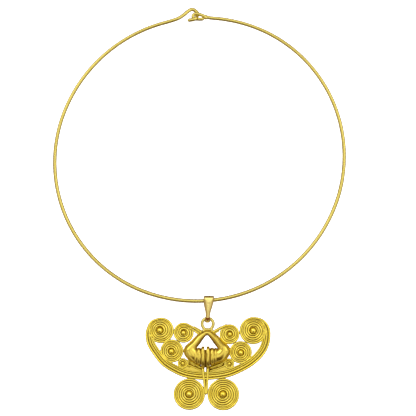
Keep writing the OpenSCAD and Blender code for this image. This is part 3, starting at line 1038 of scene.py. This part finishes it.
# Sunk ground between the double wires below the nose ring, with painted shade, as outlines of X and Z
WIRE_BEDS = [
    [[-9.2, -19.4], [-2.4, -22.9], [-2.4, -25.5], [-9.2, -22.5]],
    [[8.0, -20.0], [0.6, -23.0], [0.6, -25.7], [8.0, -23.2]],
]

# Narrow strips beside the open slot, with light painted shade, as outlines of X and Z
SLOT_SIDES = [
    [[-2.9, -22.4], [-1.55, -22.4], [-1.45, -27.6], [-2.9, -27.6]],
    [[-0.75, -22.4], [0.7, -22.4], [0.5, -27.6], [-0.85, -27.6]],
]

# Slabs of the sunk grounds, which carry painted shade. Columns: outlines, front, back, bevel,
# painted shade. Each kind has a back of its own, because two surfaces in one place would show dark
# patches
GROUNDS = [
    ([GAP_BED], 2.0, PLATE_BACK + 0.3, 0.15, 0.85),
    ([STEM_BED], PLATE_FRONT - 0.1, PLATE_BACK + 0.2, 0.15, 0.7),
    (SLOT_SIDES, PLATE_FRONT, PLATE_BACK + 0.1, 0.1, 0.3),
    (WIRE_BEDS, PLATE_FRONT + 0.04, PLATE_FRONT - 0.3, 0.1, 0.32),
]

# Wires beside the nose ring and down the stem. Each is a line of X and Z, and its radius
WIRES = [
    ([[-9.9, -2.7], [-6.5, -4.6], [-2.7, -6.9]], 0.52),
    ([[-8.6, -4.6], [-6.2, -6.0], [-3.9, -7.9]], 0.45),
    ([[9.3, -3.0], [5.6, -4.9], [2.4, -6.7]], 0.6),
    ([[-9.5, -19.7], [-8.85, -20.1], [-5.9, -22.0], [-2.6, -23.8]], 0.4),
    ([[-9.9, -22.0], [-9.2, -22.2], [-5.9, -23.5], [-2.8, -24.9]], 0.38),
    ([[8.9, -20.0], [8.3, -20.4], [5.5, -22.0], [1.0, -23.7]], 0.4),
    ([[8.9, -22.1], [8.2, -22.5], [5.6, -23.6], [1.0, -25.1]], 0.38),
    ([[-2.4, -23.6], [-2.15, -26.5], [-1.85, -28.6], [-1.4, -32.6], [-1.05, -36.1]], 0.57),
    ([[0.0, -23.6], [0.05, -26.5], [-0.15, -29.3], [-0.35, -32.6], [-0.6, -36.1]], 0.57),
]
WIRE_LIFT = 0.22
WIRE_STEP = 0.2
# Painted shade at the wires' sides, as a share of a full groove's
WIRE_LAID = 0.8

# Where two coils are soldered together. Columns: X, Z of each end of the solder
SEAMS = [
    [-17.0, -6.3, -15.4, -6.5],
    [-14.4, -10.6, -13.7, -11.9],
    [-19.6, -10.6, -19.1, -11.4],
    [-14.5, -19.5, -13.2, -20.3],
    [14.8, -7.0, 15.9, -6.8],
    [12.6, -11.4, 13.4, -12.4],
    [18.4, -11.1, 18.0, -11.9],
    [12.9, -20.0, 11.9, -20.6],
    [-9.6, -22.6, -8.4, -23.2],
    [8.4, -23.0, 9.4, -22.4],
    [-9.8, -28.55, -7.6, -28.75],
    [6.4, -28.75, 8.6, -28.6],
]
# All seams are made equally long, to this half length along the way that the row gives
SEAM_REACH = 1.1
SEAM_R = 0.62
SEAM_FRONT = -0.15
SEAM_STEP = 0.15
SEAM_SHADE = 0.5


def web_plates():
    """The smooth plates between the wires."""
    shape = Shape()
    for outline in PLATES:
        add_slab(shape, outline, PLATE_FRONT, PLATE_BACK)
    shape.build("web_plates", "pendant", POLISHED_GOLD)


def web_wires():
    """The single wires, with painted shade at their sides, and the sunk grounds beside them."""
    shape = Shape()
    for outlines, front, back, bevel, recess in GROUNDS:
        for outline in outlines:
            add_slab(shape, outline, front, back, bevel, recess)
    for line, radius in WIRES:
        path = even(spline(flat_local(line, PLATE_FRONT + WIRE_LIFT)), WIRE_STEP)
        add_tube(shape, path, radius, sides=16, laid=WIRE_LAID)
    shape.build("web_wires", "pendant", CAST_GOLD)


def seams():
    """Short beads of solder between coils that touch, painted dark as the shade where they meet."""
    shape = Shape()
    for x0, z0, x1, z1 in SEAMS:
        middle = np.array([x0 + x1, z0 + z1]) / 2
        way = np.array([x1 - x0, z1 - z0])
        reach = way / np.linalg.norm(way) * SEAM_REACH
        line = np.array([middle - reach, middle, middle + reach])
        path = even(flat_local(line, SEAM_FRONT), SEAM_STEP)
        add_tube(shape, path, SEAM_R, sides=14, recess=SEAM_SHADE)
    shape.build("coil_solder", "pendant", CAST_GOLD)


# Floor, room, lamps and camera, in metres

# A sweep, as rows of Y and Z: floor in front, rising behind in one curve
SWEEP = [
    [-1.6, -0.42],
    [0.5, -0.42],
    [0.85, -0.36],
    [1.05, -0.16],
    [1.1, 0.2],
    [1.1, 1.6],
]
SWEEP_HALF = 2.2
SHEET_COLOUR = (0.93, 0.93, 0.93, 1)
SHEET_ROUGH = 0.9
SHEET_SHINE = 0.1
SHEET_GLOW = 0.75
WHITE = (1, 1, 1, 1)

# The way to the dark end of the room, in front and below
DARK_WAY = (0.02, -0.75, -0.66)
# Soft steps of the room's brightness. Columns: where the step starts and ends, and the level
# before and after it. OVERHEAD runs over Z, DARK_END over the nearness to the dark way, PATCHES
# over noise, and the others over Y
OVERHEAD = (-0.7, 0.6, 0.93, 0.96)
FRONT_HALF = (-0.8, 0.2, 1.12, 0.24)
REAR = (0.72, 0.95, 0.0, 0.95)
DARK_END = (0.87, 0.95, 1.0, 0.13)
PATCHES = (0.38, 0.58, 0.62, 1.12)
STRAIGHT_AHEAD = (-0.995, -0.95, 1.12, 0.0)
PATCH_SCALE = 2.6
PATCH_DETAIL = 1.0
DARK_TINT = (1.0, 0.62, 0.25, 1)
PALE_TINT = (1.0, 0.98, 0.94, 1)

# Lamps. Columns: name, place, width and height, power in watts
LAMPS = [
    ("key_left", (-0.6, -0.8, 0.4), (0.5, 0.6), 1.35),
    ("key_right", (0.65, -0.75, 0.2), (0.4, 0.6), 0.9),
    ("top", (0.0, -0.6, 0.65), (0.9, 0.4), 0.6),
]
LAMP_AIM = (0.004, 0, -0.13)

# The photograph's side in pixels, its scale, and the pixel where the nape's inside lies
IMAGE_PX = 416
MM_PER_PX = 0.476
NAPE_PX = (199.5, 19.43)
SENSOR_MM = 36.0
LENS_MM = 110.0
CLIP_START = 0.01


def pale_sheet():
    """The pale sheet that the necklace hangs in front of."""
    paper = bpy.data.materials.new("pale_floor")
    paper.use_nodes = True
    shader = paper.node_tree.nodes["Principled BSDF"]
    shader.inputs["Base Color"].default_value = SHEET_COLOUR
    shader.inputs["Roughness"].default_value = SHEET_ROUGH
    shader.inputs["Specular IOR Level"].default_value = SHEET_SHINE
    shader.inputs["Emission Color"].default_value = WHITE
    shader.inputs["Emission Strength"].default_value = SHEET_GLOW
    points = []
    for y, z in spline(SWEEP, per=12):
        points += [(-SWEEP_HALF, y, z), (SWEEP_HALF, y, z)]
    mesh = bpy.data.meshes.new("floor")
    mesh.from_pydata(points, [], [(k, k + 1, k + 3, k + 2) for k in range(0, len(points) - 2, 2)])
    mesh.shade_smooth()
    mesh.materials.append(paper)
    floor = bpy.data.objects.new("floor", mesh)
    bpy.context.scene.collection.objects.link(floor)
    # The metal mirrors the room behind the sheet, so its edges stay darker than the sheet
    floor.visible_glossy = False


def room_level(tree, way):
    """The room's brightness each way: a product of soft steps."""
    split = tree.nodes.new("ShaderNodeSeparateXYZ")
    tree.links.new(way, split.inputs["Vector"])
    toward = tree.nodes.new("ShaderNodeVectorMath")
    toward.operation = "DOT_PRODUCT"
    toward.inputs[1].default_value = DARK_WAY
    tree.links.new(way, toward.inputs[0])
    overhead = ranged(tree, split.outputs["Z"], *OVERHEAD)
    front_half = ranged(tree, split.outputs["Y"], *FRONT_HALF)
    rear = ranged(tree, split.outputs["Y"], *REAR)
    around = worked_out(tree, "MAXIMUM", front_half, rear)
    dark_end = ranged(tree, toward.outputs["Value"], *DARK_END)
    patches = ranged(tree, noise(tree, way, PATCH_SCALE, PATCH_DETAIL), *PATCHES)
    # Flat faces mirror what is straight ahead, which stays pale and without patches
    ahead = ranged(tree, split.outputs["Y"], *STRAIGHT_AHEAD)
    uneven = worked_out(tree, "MAXIMUM", patches, ahead)
    level = worked_out(tree, "MULTIPLY", overhead, around)
    level = worked_out(tree, "MULTIPLY", level, dark_end)
    return worked_out(tree, "MULTIPLY", level, uneven)


def room():
    """A room that is pale in front and behind, dim at the sides, with one dark end."""
    world = bpy.data.worlds.new("soft_room")
    bpy.context.scene.world = world
    world.use_nodes = True
    tree = world.node_tree
    level = room_level(tree, tree.nodes.new("ShaderNodeTexCoord").outputs["Generated"])
    mirrored = tree.nodes["Background"]
    tree.links.new(mixed(tree, level, DARK_TINT, PALE_TINT), mirrored.inputs["Color"])
    tree.links.new(level, mirrored.inputs["Strength"])
    # Past the sheet's edges a turned view sees plain white
    plain = tree.nodes.new("ShaderNodeBackground")
    plain.inputs["Color"].default_value = WHITE
    seen = tree.nodes.new("ShaderNodeLightPath")
    either = tree.nodes.new("ShaderNodeMixShader")
    tree.links.new(seen.outputs["Is Camera Ray"], either.inputs["Fac"])
    tree.links.new(mirrored.outputs["Background"], either.inputs[1])
    tree.links.new(plain.outputs["Background"], either.inputs[2])
    tree.links.new(either.outputs["Shader"], tree.nodes["World Output"].inputs["Surface"])


def lamps():
    """Three soft area lamps, all turned to the pendant."""
    for name, place, size, power in LAMPS:
        data = bpy.data.lights.new(name, "AREA")
        data.shape = "RECTANGLE"
        data.size, data.size_y = size
        data.energy = power
        lamp = bpy.data.objects.new(name, data)
        bpy.context.scene.collection.objects.link(lamp)
        lamp.location = place
        away = np.array(place) - np.array(LAMP_AIM)
        lamp.rotation_euler = Vector(away).to_track_quat("Z", "Y").to_euler()


def camera():
    """The photograph's view: square to the front, its middle where the photograph's is."""
    data = bpy.data.cameras.new("photo_view")
    data.sensor_width = SENSOR_MM
    data.lens = LENS_MM
    data.clip_start = CLIP_START
    view = bpy.data.objects.new("photo_view", data)
    bpy.context.scene.collection.objects.link(view)
    middle_px = IMAGE_PX / 2
    x = (middle_px - NAPE_PX[0]) * MM_PER_PX / MM_PER_M
    z = -(middle_px - NAPE_PX[1]) * MM_PER_PX / MM_PER_M
    width = IMAGE_PX * MM_PER_PX / MM_PER_M
    view.location = (x, -width * data.lens / data.sensor_width, z)
    view.rotation_euler = (math.radians(90), 0, 0)
    bpy.context.scene.camera = view
    bpy.context.scene.view_settings.view_transform = "Standard"


def main():
    """Builds the necklace and its surroundings."""
    neck_wire()
    bail()
    pendant_discs()
    band()
    nose_ring()
    top_loop()
    web_plates()
    web_wires()
    seams()
    pale_sheet()
    room()
    lamps()
    camera()


main()
